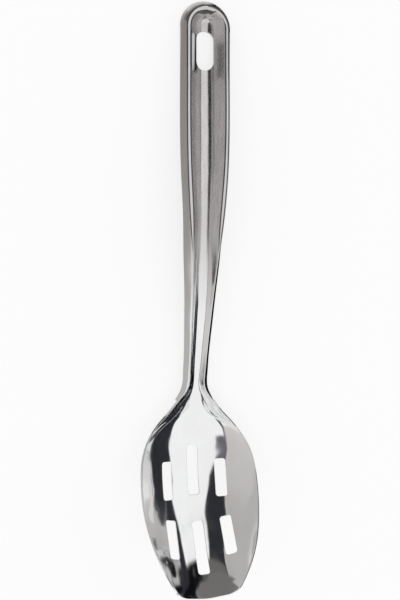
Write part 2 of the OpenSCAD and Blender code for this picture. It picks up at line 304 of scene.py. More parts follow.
def smooth_curve(stations):
    """A curve through stations, each a place and a value, with no bend at its two ends."""
    x, y = np.array(stations, float).T
    h, n = np.diff(x), len(x)
    system, right = np.eye(n), np.zeros(n)
    for i in range(1, n - 1):
        system[i, i - 1:i + 2] = h[i - 1], 2 * (h[i - 1] + h[i]), h[i]
        right[i] = 6 * ((y[i + 1] - y[i]) / h[i] - (y[i] - y[i - 1]) / h[i - 1])
    m = np.linalg.solve(system, right)

    def value(at):
        at = np.asarray(at, float)
        i = np.clip(np.searchsorted(x, at, "right") - 1, 0, n - 2)
        a, b = (x[i + 1] - at) / h[i], (at - x[i]) / h[i]
        bend = ((a ** 3 - a) * m[i] + (b ** 3 - b) * m[i + 1]) * h[i] ** 2 / 6
        return a * y[i] + b * y[i + 1] + bend
    return value


def soft_min(heights, rounding):
    """The lowest of some heights, with a rounded fold where one passes under another."""
    low = np.minimum.reduce(heights)
    return low - rounding * np.log(sum(np.exp((low - a) / rounding) for a in heights))


def normal_of(height, x, s, sign=1):
    zx = (height(x + STEP, s) - height(x - STEP, s)) / (2 * STEP)
    zs = (height(x, s + STEP) - height(x, s - STEP)) / (2 * STEP)
    return sign * unit(np.stack([-zx, zs, np.ones_like(zx)], -1))


def unit(v):
    return v / np.maximum(np.linalg.norm(v, axis=-1, keepdims=True), 1e-12)


def spread_lines(section, last, s, count):
    """Distances from the middle plane, close together where the section bends."""
    samples, full_gap, full_turn = 900, 0.8 * MM, math.radians(5)
    x = np.linspace(0, 1, samples)[None, :] * last[:, None]
    z = section(x, s[:, None])
    gap = x[:, 1:2]
    slope = np.gradient(z, axis=1) / gap
    turn = np.abs(np.gradient(np.arctan(slope), axis=1)) / gap
    weight = np.sqrt(1 + slope ** 2) / full_gap + turn / full_turn
    steps = np.cumsum((weight[:, 1:] + weight[:, :-1]) / 2, axis=1)
    total = np.concatenate([np.zeros((len(s), 1)), steps], 1)
    wanted = np.linspace(0, 1, count)
    return np.array([np.interp(wanted * t[-1], t, row) for t, row in zip(total, x)])


def quads_of(ids):
    """Four-sided faces between the neighbours in a grid of points."""
    return np.stack([ids[:-1, :-1], ids[:-1, 1:], ids[1:, 1:], ids[1:, :-1]], -1).reshape(-1, 4)


class Skin:
    """Points with their normals, and the faces between them."""

    def __init__(self):
        self.points, self.normals, self.faces, self.count = [], [], [], 0

    def add(self, points, normals):
        points, normals = np.asarray(points, float), np.asarray(normals, float)
        shape = points.shape[:-1]
        self.points.append(points.reshape(-1, 3))
        self.normals.append(np.broadcast_to(normals, points.shape).reshape(-1, 3))
        ids = np.arange(self.count, self.count + int(np.prod(shape))).reshape(shape)
        self.count += ids.size
        return ids

    def strip(self, a, b, closed=False):
        if closed:
            a, b = np.append(a, a[0]), np.append(b, b[0])
        self.faces += quads_of(np.stack([a, b])).tolist()

    def mesh(self, name, keep=None, marks=None):
        """The faces whose points are kept, as a mesh that is held inside the box of the solids."""
        points, normals = np.concatenate(self.points), unit(np.concatenate(self.normals))
        points = np.clip(points, np.array(CAD_BOX[0]) + STEP, np.array(CAD_BOX[1]) - STEP)
        flat = []
        for f in self.faces:
            f = list(dict.fromkeys(f))
            if len(f) > 2 and (keep is None or all(keep[i] for i in f)):
                a, b, c, d = points[f[0]], points[f[1]], points[f[2]], points[f[-1]]
                turn = np.cross(c - a, d - b) if len(f) > 3 else np.cross(b - a, c - a)
                flat.append(f if turn @ normals[f].sum(0) > 0 else f[::-1])
        used = np.unique(np.concatenate([np.array(f) for f in flat]))
        place = np.full(len(points), -1)
        place[used] = np.arange(len(used))
        mesh = bpy.data.meshes.new(name)
        mesh.from_pydata(points[used].tolist(), [], [place[f].tolist() for f in flat])
        mesh.polygons.foreach_set("use_smooth", [True] * len(mesh.polygons))
        mesh.normals_split_custom_set_from_vertices(normals[used].tolist())
        # The marks place the painted dark reflection lines on the steel, kept as a point attribute
        if marks:
            values = marks(points[used], normals[used]).astype(np.float32).ravel()
            mesh.attributes.new("painted_reflection_lines", "FLOAT_VECTOR", "POINT").data.foreach_set("vector", values)
        mesh.validate()
        return mesh


def place_object(name, mesh, material, node):
    """Puts a piece of the sheet in the place of its solid."""
    obj = bpy.data.objects.new(name, mesh)
    bpy.context.scene.collection.objects.link(obj)
    mesh.materials.append(material)
    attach(obj, "root")
    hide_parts(node)


def inside(points, polygon):
    """Which points in plan a closed polygon holds."""
    a, b = polygon, np.roll(polygon, -1, 0)
    x, y = points[:, 0:1], points[:, 1:2]
    crosses = (a[:, 1] > y) != (b[:, 1] > y)
    rise = np.where(b[:, 1] == a[:, 1], 1e-12, b[:, 1] - a[:, 1])
    at = a[:, 0] + (y - a[:, 1]) / rise * (b[:, 0] - a[:, 0])
    return (crosses & (x < at)).sum(1) % 2 == 1


def distance(points, polygon, closed=True):
    """How far points in plan are from the nearest side of a closed polygon, or of an open line."""
    a, b = (polygon, np.roll(polygon, -1, 0)) if closed else (polygon[:-1], polygon[1:])
    d = b - a
    best = np.full(len(points), np.inf)
    for p, q, r in zip(a, b, d):
        share = np.clip(((points - p) @ r) / max(r @ r, 1e-18), 0, 1)
        best = np.minimum(best, np.hypot(*(points - p - share[:, None] * r).T))
    return best


def fill(plan, edges):
    """Triangles over points in plan that keep the given edges."""
    margin = 1e-7
    _, _, tris, came_from, _, _ = delaunay_2d_cdt(
        [Vector((p[0] / MM, p[1] / MM)) for p in plan], [tuple(map(int, e)) for e in edges], [], 0, margin)
    first = np.array([c[0] if c else -1 for c in came_from])
    found = first[np.array([list(t) for t in tris])]
    return found[(found >= 0).all(1)]


def loop_edges(ids):
    return list(zip(ids, np.roll(ids, -1)))


def slot_path(width, long, r_far, r_near, grow, arc=9):
    """Outline of a slot that is long along Y, grown by a margin, with its outward directions."""
    gap, points, outward = 0.8 * MM, [], []
    corners = [(1, 1, r_far), (-1, 1, r_far), (-1, -1, r_near), (1, -1, r_near)]
    for i, (sx, sy, r) in enumerate(corners):
        first = i * math.pi / 2
        for a in np.linspace(first, first + math.pi / 2, arc):
            n = np.array([math.cos(a), math.sin(a)])
            points.append(np.array([sx * (width / 2 - r), sy * (long / 2 - r)]) + n * (r + grow))
            outward.append(n)
        nx, ny, nr = corners[(i + 1) % 4]
        start = points[-1]
        end = np.array([nx * (width / 2 - nr), ny * (long / 2 - nr)]) + n * (nr + grow)
        straight = (long if i % 2 else width) - r - nr
        parts = max(1, round(abs(straight) / gap))
        for k in range(1, parts):
            points.append(start + (end - start) * k / parts)
            outward.append(n)
    points, outward = np.array(points), np.array(outward)
    apart = np.linalg.norm(points - np.roll(points, 1, 0), axis=1) > STEP
    return points[apart], outward[apart]


def meet(height, origin, axes, flat):
    """Where lines along a cutter's own upright axis meet a surface given by its height."""
    tries = 12
    base = origin + flat @ axes[:, :2].T
    up = axes[:, 2]
    w = np.zeros(len(flat))

    def miss(w):
        p = base + w[:, None] * up
        return p[:, 2] - height(p[:, 0], FORM.total / 2 - p[:, 1])
    for _ in range(tries):
        m = miss(w)
        w = w - m / ((miss(w + STEP) - m) / STEP)
    return base + w[:, None] * up


def corner(skin, a, p, c, na, nc):
    """The middle of a rounded edge between points a and c, whose sharp corner is p and normals na and nc."""
    return skin.add(0.25 * a + 0.5 * p + 0.25 * c, unit(na + nc))


def cut_hole(skin, top, under, origin, axes, outline):
    """Rings round a hole from the upper side, over its rounded edges and wall, to the under side."""
    r, up = FORM.size.edge_r, axes[:, 2]
    flat, outward = outline(0)
    wide, _ = outline(r)
    wall = -(outward @ axes[:, :2].T)
    rings = []
    for height, sign in ((top, 1), (under, -1)):
        edge, sharp = meet(height, origin, axes, wide), meet(height, origin, axes, flat)
        normal = normal_of(height, edge[:, 0], FORM.total / 2 - edge[:, 1], sign)
        deep = sharp - sign * r * up
        rings.append((skin.add(edge, normal), corner(skin, edge, sharp, deep, normal, wall),
                      skin.add(deep, wall)))
    for ring in rings:
        for a, b in zip(ring, ring[1:]):
            skin.strip(a, b, True)
    skin.strip(rings[0][2], rings[1][2], True)
    return rings[0][0], rings[1][0]


def plan_of(skin, ids=None):
    points = np.concatenate(skin.points)[:, :2]
    return points if ids is None else points[ids]


def close_round(skin, quads, ring):
    """Takes out the quads near a hole's ring and fills up to the ring with triangles."""
    margin, apart = 0.5 * MM, 0.3 * MM
    plan = plan_of(skin)
    outline = plan[ring]
    near = np.unique(quads)
    hit = inside(plan[near], outline) | (distance(plan[near], outline) < margin)
    out = np.zeros(len(plan), bool)
    out[near[hit]] = True
    gone = out[quads].any(1)
    edges = {}
    for q in quads[gone]:
        q = list(dict.fromkeys(q.tolist()))
        for a, b in zip(q, q[1:] + q[:1]):
            key = (min(a, b), max(a, b))
            edges[key] = edges.get(key, 0) + 1
    border = [e for e, n in edges.items() if n == 1]
    after = {}
    for a, b in border:
        after.setdefault(a, []).append(b)
        after.setdefault(b, []).append(a)
    walk = list(border[0])
    while len(walk) < len(border):
        walk.append([v for v in after[walk[-1]] if v != walk[-2]][0])
    loose = np.unique(quads[gone])
    free = ~inside(plan[loose], outline) & (distance(plan[loose], outline) > apart)
    ids = np.concatenate([loose[free & ~np.isin(loose, walk)], walk, ring])
    place = {v: i for i, v in enumerate(ids.tolist())}
    fixed = loop_edges([place[v] for v in walk]) + loop_edges([place[v] for v in ring.tolist()])
    tris = ids[fill(plan[ids], fixed)]
    centre = plan[tris].mean(1)
    tris = tris[inside(centre, plan[walk]) & ~inside(centre, outline)]
    skin.faces += quads[~gone].tolist() + tris.tolist()


# The form of the spoon, made by main from the scene's sizes
FORM = None


def handle_side(skin, form, top):
    """The handle's upper or under side, with no slot yet.

    It gives the side's quads, its last row, its border and the sharp edge that the rounding replaces.
    """
    turns, s = 72, form.rows()
    half, sign = form.size.half_lines, 1 if top else -1
    section = form.section_top if top else form.section_under
    rim = form.outer(s) if top else form.under_outer(s)
    lines = spread_lines(section, rim - form.edge_inset(s), s, half)
    angles = np.linspace(0, math.pi, turns + 1)[1:-1, None]

    def height(px, ps):
        return form.height(px, ps, top)

    def round_end(x):
        reach = form.turned(x, np.sin(angles), top)
        return reach * np.cos(angles), form.cap_at - reach * np.sin(angles)

    def add_points(px, ps):
        return skin.add(form.to_world(px, ps, height(px, ps)), normal_of(height, px, ps, sign))
    both = np.concatenate([-lines[:, :0:-1], lines], 1)
    ids = add_points(both, np.repeat(s[:, None], both.shape[1], 1))
    fan = add_points(*round_end(lines[0][None, 1:]))
    fan = np.concatenate([ids[0:1, half:], fan, ids[0:1, half - 2::-1]], 0)
    pole = np.full((turns + 1, 1), ids[0, half - 1])
    quads = np.concatenate([quads_of(ids), quads_of(np.concatenate([pole, fan], 1))])
    border = np.concatenate([ids[::-1, -1], fan[1:-1, -1], ids[:, 0]])
    round_x, round_s = round_end(rim[:1])
    edge_x = np.concatenate([rim[::-1], round_x[:, 0], -rim])
    edge_s = np.concatenate([s[::-1], round_s[:, 0], s])
    edge_z = form.face(edge_s) - form.drop(np.maximum(edge_s, form.cap_at))
    return quads, ids[-1], border, form.to_world(edge_x, edge_s, edge_z)


def cut_square(skin, top, low, edges, outward):
    """The flat end across the sheet, from rows of its two sides and the lines of points along its edges."""
    points = np.concatenate(skin.points)
    end_top, end_low = skin.add(points[top], outward), skin.add(points[low], outward)
    skin.strip(end_top, end_low)
    for i, near in ((0, -1), (-1, 0)):
        rest = skin.add(points[[edge[i] for edge in edges]], outward)
        skin.faces.append([int(end_top[near])] + rest.tolist() + [int(end_low[near])])


def handle_skin(form):
    """The whole handle, from its round end to the bowl, as one skin."""
    skin, size = Skin(), form.size
    top_quads, top_row, top_rim, top_edge = handle_side(skin, form, True)
    low_quads, low_row, low_rim, low_edge = handle_side(skin, form, False)
    points, normals = np.concatenate(skin.points), np.concatenate(skin.normals)
    down = unit(low_edge - top_edge)
    wall = unit(np.cross(unit(np.gradient(top_edge, axis=0)), down))
    wall *= -np.sign(wall[:, 2:3])
    deep_top, deep_low = top_edge + size.edge_r * down, low_edge - size.edge_r * down
    wall_top, wall_low = skin.add(deep_top, wall), skin.add(deep_low, wall)
    bend_top = corner(skin, points[top_rim], top_edge, deep_top, normals[top_rim], wall)
    bend_low = corner(skin, points[low_rim], low_edge, deep_low, normals[low_rim], wall)
    lines = (top_rim, bend_top, wall_top, wall_low, bend_low, low_rim)
    for a, b in zip(lines, lines[1:]):
        skin.strip(a, b)
    # The hanging slot is cut straight down
    origin = np.array([0, form.total / 2 - size.hang_from_end - size.hang_len / 2, 0])

    def outline(grow):
        return slot_path(size.hang_w, size.hang_len, size.hang_w / 2, size.hang_w / 2, grow, arc=22)
    rings = cut_hole(skin, form.height, lambda x, s: form.height(x, s, False), origin, np.eye(3), outline)
    for quads, ring in zip((top_quads, low_quads), rings):
        close_round(skin, quads, ring)
    cut_square(skin, top_row, low_row, lines[1:-1], (0, -1, 0))
    return skin


def ramp(value, low, high):
    """A value's share of the way from low to high."""
    return np.clip((value - low) / (high - low), 0, 1)


def smooth_step(value, low, high):
    """The same share, with a soft start and end."""
    share = ramp(value, low, high)
    return share * share * (3 - 2 * share)


def stretched_about(value, centre, factor):
    return centre + (value - centre) * factor


def painted_reflection_marks(points, normals):
    """Distances from the band's inner and outer edge, stretched where their lines are thin, for the painted
    dark reflection lines.

    The third value is how much of a band there is. It is over 1 at the hanging slot and under 0 at the neck.
    """
    size = FORM.size
    s = FORM.total / 2 - points[:, 1]
    section = np.maximum(s, FORM.cap_at)
    left = points[:, 0] < 0
    r = np.hypot(points[:, 0], s - section)
    crest, band = FORM.crest(section), FORM.band(section)
    inner, outer = r - crest + band, r - crest - band
    share = ramp(band / (size.band_w / 2), 0.3, 0.8)
    # Painted dark reflection on the neck's wall grows towards the bowl, and is less on the right, where it
    # fades out again at the bowl
    at = s / FORM.handle_len
    right_share = 0.42
    neck = ramp(at, 0.86, 0.94) * np.where(left, 1, right_share * ramp(1 - at, 0, 0.05))
    # Round the end the inner painted reflection line becomes a dark arc on the end wall, and to its right it
    # thins out
    around = np.degrees(np.arctan2(section - s, points[:, 0]))
    arc = smooth_step(around, 64, 74) * (1 - smooth_step(around, 100, 140))
    thin = smooth_step(around, 14, 30) * (1 - smooth_step(around, 58, 66))
    arc_shift, arc_wider, thinner = 1.0 * MM, 0.35, 4
    inner = stretched_about(inner + arc_shift * arc, INNER_LINE, (1 - arc_wider * arc) * (1 + thinner * thin))
    # Beside the slot the left inner painted reflection line moves and widens, and near the end the right
    # outer one is widest
    slot_from, slot_to = size.hang_from_end, size.hang_from_end + size.hang_len
    beside = smooth_step(s, slot_from + 1.5 * MM, slot_from + 3 * MM)
    beside *= 1 - smooth_step(s, slot_to, slot_to + 2 * MM)
    near_end = 1 - smooth_step(s, slot_to, slot_to + 12 * MM)
    beside_shift, beside_wider, right_thinner = 0.35 * MM, 0.4, 1.35
    left_inner = stretched_about(inner + beside_shift * beside, INNER_LINE, 1 - beside_wider * beside)
    inner = np.where(left, left_inner, stretched_about(inner, INNER_LINE, right_thinner))
    left_thinner, right_wider, end_wider = 1.45, 0.85, 0.25
    factor = np.where(left, left_thinner, right_wider - end_wider * near_end)
    outer = stretched_about(outer, OUTER_LINE, factor)
    return np.stack([inner, outer, (share + beside * left - neck) * (normals[:, 2] > 0)], -1)


def rim_path(form, gap):
    """The bowl's outline in plan, from its left start round the tip to its right start, and outward."""
    side_count, front_count = 400, 60
    s = np.linspace(form.handle_len, form.corner_from, side_count)
    side = np.stack([form.crest(s), s], -1)
    r = form.size.tip_corner_r
    a = np.linspace(form.side_angle, math.pi / 2 - form.tip_angle, front_count)[1:]
    arc = np.stack([form.corner_x + r * np.cos(a), form.corner_s + r * np.sin(a)], -1)
    x = np.linspace(form.tip_half, 0, front_count)[1:]
    front = np.stack([x, form.tip_at - form.size.tip_bulge * (x / form.tip_half) ** 2], -1)
    half = np.concatenate([side, arc, front])
    way = np.concatenate([[0], np.cumsum(np.hypot(*np.diff(half, axis=0).T))])
    at = np.linspace(0, way[-1], round(way[-1] / gap) + 1)
    half = np.stack([np.interp(at, way, half[:, 0]), np.interp(at, way, half[:, 1])], -1)
    path = np.concatenate([half * (-1, 1), half[-2::-1]])
    tangent = unit(np.gradient(path, axis=0))
    return path, np.stack([-tangent[:, 1], tangent[:, 0]], -1)


def drain_slots(skin, form):
    """Cuts the six drain slots along the sheet's slope and, across the spoon, at half of it.

    It gives the slots' rings on the upper and the under side.
    """
    size, holes, tilt_share = form.size, [], 0.5
    far_round = 0.42 * size.slot_w
    slots = [(0, size.upper_mid, size.mid_slot_len, far_round),
             (0, size.lower_mid, size.mid_slot_len, size.slot_corner_r)]
    slots += [(side * size.slot_pitch, from_tip, size.side_slot_len, size.slot_corner_r)
              for from_tip in (size.upper_side, size.lower_side) for side in (-1, 1)]
    for x, from_tip, slot_len, far_r in slots:
        s = form.total - from_tip
        across, along = form.trough_slopes(x, s)
        climb = math.atan(-along)
        tilt = tilt_share * math.atan(-across * math.cos(climb))
        axes = np.array(Matrix.Rotation(climb, 3, "X") @ Matrix.Rotation(tilt, 3, "Y"))
        origin = np.array([x, form.total / 2 - s, float(form.trough(x, s))])

        def outline(grow):
            return slot_path(size.slot_w, slot_len, far_r, size.slot_corner_r, grow)
        holes.append(cut_hole(skin, form.section_top, form.bowl_under, origin, axes, outline))
    return holes


def fill_side(skin, form, height, sign, rim, outward, rings):
    """Fills one side of the bowl from its rim to the slots' rings. It gives the row of points at the neck."""
    gap, start, mid = form.size.row_gap, form.handle_len, (0, form.total / 2)
    neck_count, reach, flip = 60, 60, np.array([1, -1])
    rim_rows, from_neck = np.array([0.25, 0.55, 0.95, 1.5]) * MM, 0.2 * MM
    from_rim, from_slot = 2.0 * MM, 0.35 * MM

    def add_points(px, ps):
        return skin.add(form.to_world(px, ps, height(px, ps)), normal_of(height, px, ps, sign))
    rim_plan = plan_of(skin, rim)
    row_x = np.linspace(rim_plan[-1, 0], rim_plan[0, 0], neck_count + 2)[1:-1]
    row = add_points(row_x, np.full(neck_count, start))
    chain = np.concatenate([rim, row])
    border = plan_of(skin, chain)
    # Rows of points follow the rim, and a square grid covers the rest
    rim_s = form.total / 2 - rim_plan[:, 1]
    inner = []
    for inset in rim_rows:
        px, ps = rim_plan[:, 0] - outward[:, 0] * inset, rim_s - outward[:, 1] * inset
        inner.append(np.stack([px, ps], -1)[ps > start + from_neck])
    across, along = np.arange(-reach, reach + 1) * gap, np.arange(start + gap, form.total, gap)
    grid = np.stack(np.meshgrid(across, along), -1).reshape(-1, 2)
    plan = grid * flip + mid
    good = inside(plan, border) & (distance(plan, rim_plan, False) > from_rim)
    inner = np.concatenate(inner + [grid[good]])
    plan = inner * flip + mid
    good = np.ones(len(inner), bool)
    for ring in rings:
        outline = plan_of(skin, ring)
        good &= ~inside(plan, outline) & (distance(plan, outline) >= from_slot)
    filled = add_points(*inner[good].T)
    ids = np.concatenate([chain, filled] + rings)
    fixed, at = loop_edges(np.arange(len(chain))), len(chain) + len(filled)
    for ring in rings:
        fixed += loop_edges(np.arange(at, at + len(ring)))
        at += len(ring)
    tris = ids[fill(plan_of(skin, ids), fixed)]
    centre = plan_of(skin)[tris].mean(1)
    good = inside(centre, border)
    for ring in rings:
        good &= ~inside(centre, plan_of(skin, ring))
    skin.faces += tris[good].tolist()
    return np.concatenate([rim[-1:], row, rim[:1]])


def bowl_skin(form):
    """The bowl with its six drain slots."""
    skin, r = Skin(), form.size.edge_r
    path, outward = rim_path(form, 0.5 * MM)
    x, s = path.T
    across, along, side = form.bowl_foot(x, s)
    top_z = form.section_top(x, s)
    top_edge, low_edge = form.to_world(x, s, top_z), form.to_world(x + across, s + along, top_z - side)
    down = unit(low_edge - top_edge)
    wall = unit(np.cross(unit(np.gradient(top_edge, axis=0)), down))
    away = np.stack([outward[:, 0], -outward[:, 1], np.zeros(len(x))], -1)
    wall *= np.sign((wall * away).sum(1))[:, None]
    sides, rims = ((form.section_top, 1), (form.bowl_under, -1)), []
    for (height, sign), edge in zip(sides, (top_edge, low_edge)):
        px, ps = edge[:, 0], form.total / 2 - edge[:, 1]
        slope = (height(px, ps) - height(px - outward[:, 0] * r, ps - outward[:, 1] * r)) / r
        inset = r / np.sqrt(1 + slope ** 2)
        px, ps = px - outward[:, 0] * inset, np.maximum(ps - outward[:, 1] * inset, form.handle_len)
        border, normal = form.to_world(px, ps, height(px, ps)), normal_of(height, px, ps, sign)
        deep = edge + sign * r * down
        rims.append((skin.add(border, normal), corner(skin, border, edge, deep, normal, wall),
                     skin.add(deep, wall)))
    (rim_top, bend_top, wall_top), (rim_low, bend_low, wall_low) = rims
    for a, b in ((rim_top, bend_top), (bend_top, wall_top), (rim_low, bend_low), (bend_low, wall_low),
                 (wall_top, wall_low)):
        skin.strip(a, b)
    holes = drain_slots(skin, form)
    rows = [fill_side(skin, form, height, sign, rims[k][0], outward, [hole[k] for hole in holes])
            for k, (height, sign) in enumerate(sides)]
    cut_square(skin, rows[0], rows[1], (bend_top, wall_top, wall_low, bend_low), (0, 1, 0))
    return skin


def feed(tree, socket, value):
    """Links another node's output to a socket, or sets the socket to a plain value."""
    if isinstance(value, bpy.types.NodeSocket):
        tree.links.new(value, socket)
    elif value is not None:
        socket.default_value = value


def make_node(tree, kind, *given, **values):
    """A node whose inputs take plain values or other nodes' outputs, in their order or by name."""
    node = tree.nodes.new(kind)
    for key, value in values.items():
        if key in node.inputs:
            feed(tree, node.inputs[key], value)
        else:
            setattr(node, key, value)
    for socket, value in zip(node.inputs, given):
        feed(tree, socket, value)
    return node


def maths(tree, operation, a, b=None, clamp=False):
    return make_node(tree, "ShaderNodeMath", a, b, operation=operation, use_clamp=clamp).outputs[0]


def ranged(tree, value, low, high, to_low=0.0, to_high=1.0, smooth=True):
    kind = "SMOOTHSTEP" if smooth else "LINEAR"
    node = make_node(tree, "ShaderNodeMapRange", value, low, high, to_low, to_high, interpolation_type=kind)
    return node.outputs["Result"]


def blended(tree, share, a, b):
    node = make_node(tree, "ShaderNodeMix", share, data_type="RGBA")
    feed(tree, node.inputs[6], a)
    feed(tree, node.inputs[7], b)
    return node.outputs[2]


def noise(tree, place, size, detail=2.0, rough=0.5, distort=0.0):
    """Noise whose cells are about size metres wide along each axis."""
    scaled = make_node(tree, "ShaderNodeVectorMath", place, size, operation="DIVIDE").outputs[0]
    return make_node(tree, "ShaderNodeTexNoise", Vector=scaled, Scale=1.0, Detail=detail, Roughness=rough,
                     Distortion=distort).outputs["Fac"]


def place_on_spoon(tree):
    return tree.nodes.new("ShaderNodeTexCoord").outputs["Object"]


def brushed_lines(tree, given):
    """Fine lines that a brush leaves along the handle, as a mask and as a height."""
    fine_share, broad_share = 0.6, 0.4
    stretch = make_node(tree, "ShaderNodeCombineXYZ", X=1.0, Y=given["Line Length"], Z=1.0).outputs[0]
    place = make_node(tree, "ShaderNodeVectorMath", place_on_spoon(tree), stretch,
                      operation="MULTIPLY").outputs[0]
    fine = noise(tree, place, (0.28 * MM,) * 3, 3.0, 0.6)
    broad = noise(tree, place, (1.6 * MM,) * 3, 2.0, 0.5)
    both = maths(tree, "ADD", maths(tree, "MULTIPLY", fine, fine_share),
                 maths(tree, "MULTIPLY", broad, broad_share))
    return ranged(tree, both, 0.36, 0.64), both


def handling_marks(tree, given):
    """Smudges from handling, faint water spots and hair scratches."""
    place = place_on_spoon(tree)
    smudge = noise(tree, place, (21 * MM, 34 * MM, 21 * MM), 4.0, 0.6, 0.8)
    scaled = make_node(tree, "ShaderNodeVectorMath", place, operation="SCALE",
                       Scale=maths(tree, "DIVIDE", 1.0, given["Spot Size"])).outputs[0]
    cells = make_node(tree, "ShaderNodeTexVoronoi", Vector=scaled, Scale=1.0)
    turned = make_node(tree, "ShaderNodeVectorRotate", Vector=place, Angle=0.5).outputs[0]
    hair = noise(tree, turned, (0.7 * MM, 26 * MM, 0.7 * MM), 2.0, 0.5, 0.3)
    return (ranged(tree, smudge, 0.42, 0.7), ranged(tree, cells.outputs["Distance"], 0.06, 0.13, 1.0, 0.0),
            ranged(tree, hair, 0.66, 0.72))


def pressing_waves(tree, given):
    """Slow unevenness that pressing and polishing leave in the sheet, as a height."""
    slow = noise(tree, place_on_spoon(tree), (17 * MM, 24 * MM, 30 * MM), 1.5, 0.45)
    return (maths(tree, "MULTIPLY", slow, given["Strength"]),)


def finish_along(tree, given):
    """How polished the steel is at a place along the spoon: 0 on the grip, 1 from the neck on."""
    place = make_node(tree, "ShaderNodeSeparateXYZ", place_on_spoon(tree))
    return (ranged(tree, place.outputs["Y"], given["From"], given["To"]),)


def painted_band_lines(tree, given):
    """Painted dark reflection lines where the flat band turns into the trough and into the flange, on the
    neck's wall and beside the hanging slot.
    """
    marks = make_node(tree, "ShaderNodeAttribute", attribute_name="painted_reflection_lines").outputs["Vector"]
    apart = make_node(tree, "ShaderNodeSeparateXYZ", marks).outputs
    share = apart["Z"]
    at_neck, at_slot = maths(tree, "MULTIPLY", share, -1.0), maths(tree, "SUBTRACT", share, 1.0)
    band_soft, wall_soft = (0.55, 1.3), (0.75, 1.15)
    mask = None
    for axis, place, width, weight, soft in (
            ("X", INNER_LINE, "Inner Width", share, band_soft),
            ("Y", OUTER_LINE, "Outer Width", share, band_soft),
            ("X", NECK_LINE, "Neck Width", at_neck, wall_soft),
            ("X", SLOT_LINE, "Slot Width", at_slot, wall_soft)):
        off = maths(tree, "ABSOLUTE", maths(tree, "SUBTRACT", apart[axis], place))
        line = ranged(tree, maths(tree, "DIVIDE", off, given[width]), *soft, 1.0, 0.0)
        line = maths(tree, "MULTIPLY", line, weight, True)
        mask = line if mask is None else maths(tree, "MAXIMUM", mask, line)
    return (mask,)


# Each effect with what builds its node group, and the group's inputs and outputs
EFFECTS = {
    "Brushed lines": (brushed_lines, ["Line Length"], ["Mask", "Height"]),
    "Handling marks": (handling_marks, ["Spot Size"], ["Smudges", "Spots", "Scratches"]),
    "Pressing waves": (pressing_waves, ["Strength"], ["Height"]),
    "Finish along the spoon": (finish_along, ["From", "To"], ["Polish"]),
    "Painted reflection lines beside the band": (painted_band_lines, ["Inner Width", "Outer Width", "Neck Width", "Slot Width"],
                              ["Mask"]),
}


def effect_group(name):
    """The node group of an effect, built once."""
    if name not in bpy.data.node_groups:
        build, inputs, outputs = EFFECTS[name]
        tree = bpy.data.node_groups.new(name, "ShaderNodeTree")
        for side, labels in (("INPUT", inputs), ("OUTPUT", outputs)):
            for label in labels:
                tree.interface.new_socket(label, in_out=side, socket_type="NodeSocketFloat")
        results = build(tree, tree.nodes.new("NodeGroupInput").outputs)
        make_node(tree, "NodeGroupOutput", *results)
    return bpy.data.node_groups[name]


def use_effect(tree, name, **values):
    """Places an effect's node group with a material's own values."""
    named = {key.replace("_", " "): value for key, value in values.items()}
    return make_node(tree, "ShaderNodeGroup", node_tree=effect_group(name), **named).outputs


def new_material(name):
    material = bpy.data.materials.new(name)
    material.use_nodes = True
    return material, material.node_tree


def steel_material(name):
    """Steel that passes from the grip's brushed finish to the bowl's polish along its length."""
    if name in bpy.data.materials:
        return bpy.data.materials[name]
    finish = bpy.context.scene.spoon_finish
    material, tree = new_material(name)
    shader = tree.nodes["Principled BSDF"].inputs
    shader["Metallic"].default_value = 1.0
    shader["Anisotropic"].default_value = 0.55
    polish = use_effect(tree, "Finish along the spoon", From=50 * MM, To=-30 * MM)["Polish"]
    brush = use_effect(tree, "Brushed lines", Line_Length=0.012)
    wear = use_effect(tree, "Handling marks", Spot_Size=12.5 * MM)
    waves = use_effect(tree, "Pressing waves", Strength=1.0)
    lines = use_effect(tree, "Painted reflection lines beside the band", Inner_Width=0.5 * MM, Outer_Width=0.55 * MM,
                       Neck_Width=1.4 * MM, Slot_Width=0.5 * MM)
    # The brush darkens the grip, smudges warm the bowl, and the painted dark reflection lines beside the band
    # are nearly black
    brush_darkness, brush_share, smudge_share, painted_line_share = 0.8, 0.7, 0.5, 0.86
    warmth, painted_line_colour = (0.95, 0.935, 0.91), (0.03, 0.029, 0.032, 1)
    dull, bright = (*finish.brushed_colour, 1), (*finish.polished_colour, 1)
    darker = (*[brush_darkness * c for c in finish.brushed_colour], 1)
    warmer = (*[c * w for c, w in zip(finish.polished_colour, warmth)], 1)
    grip = blended(tree, maths(tree, "MULTIPLY", brush["Mask"], brush_share), dull, darker)
    bowl = blended(tree, maths(tree, "MULTIPLY", wear["Smudges"], smudge_share), bright, warmer)
    steel = blended(tree, polish, grip, bowl)
    feed(tree, shader["Base Color"],
         blended(tree, maths(tree, "MULTIPLY", lines["Mask"], painted_line_share), steel, painted_line_colour))
    # From rough on the brushed grip to smooth in the bowl, where marks are rougher than the polish
    grip_low, grip_high, bowl_low, polished_grooves = 0.2, 0.28, 0.075, 0.12
    rough_grip = ranged(tree, brush["Mask"], 0, 1, grip_low, grip_high, False)
    rough_bowl = bowl_low
    for mark, roughness in (("Smudges", 0.035), ("Scratches", 0.05), ("Spots", 0.12)):
        rough_bowl = maths(tree, "ADD", maths(tree, "MULTIPLY", wear[mark], roughness), rough_bowl)
    rough = make_node(tree, "ShaderNodeMix", polish, None, rough_grip, rough_bowl)
    feed(tree, shader["Roughness"], rough.outputs[0])
    feed(tree, shader["Tangent"], make_node(tree, "ShaderNodeCombineXYZ", Y=1.0).outputs[0])
    grooves = maths(tree, "MULTIPLY", brush["Height"], ranged(tree, polish, 0, 1, 1.0, polished_grooves))
    fine = make_node(tree, "ShaderNodeBump", Strength=0.5, Distance=0.03 * MM, Height=grooves)
    slow = make_node(tree, "ShaderNodeBump", Strength=1.0, Distance=0.6 * MM, Height=waves["Height"],
                     Normal=fine.outputs[0])
    feed(tree, shader["Normal"], slow.outputs[0])
    return material


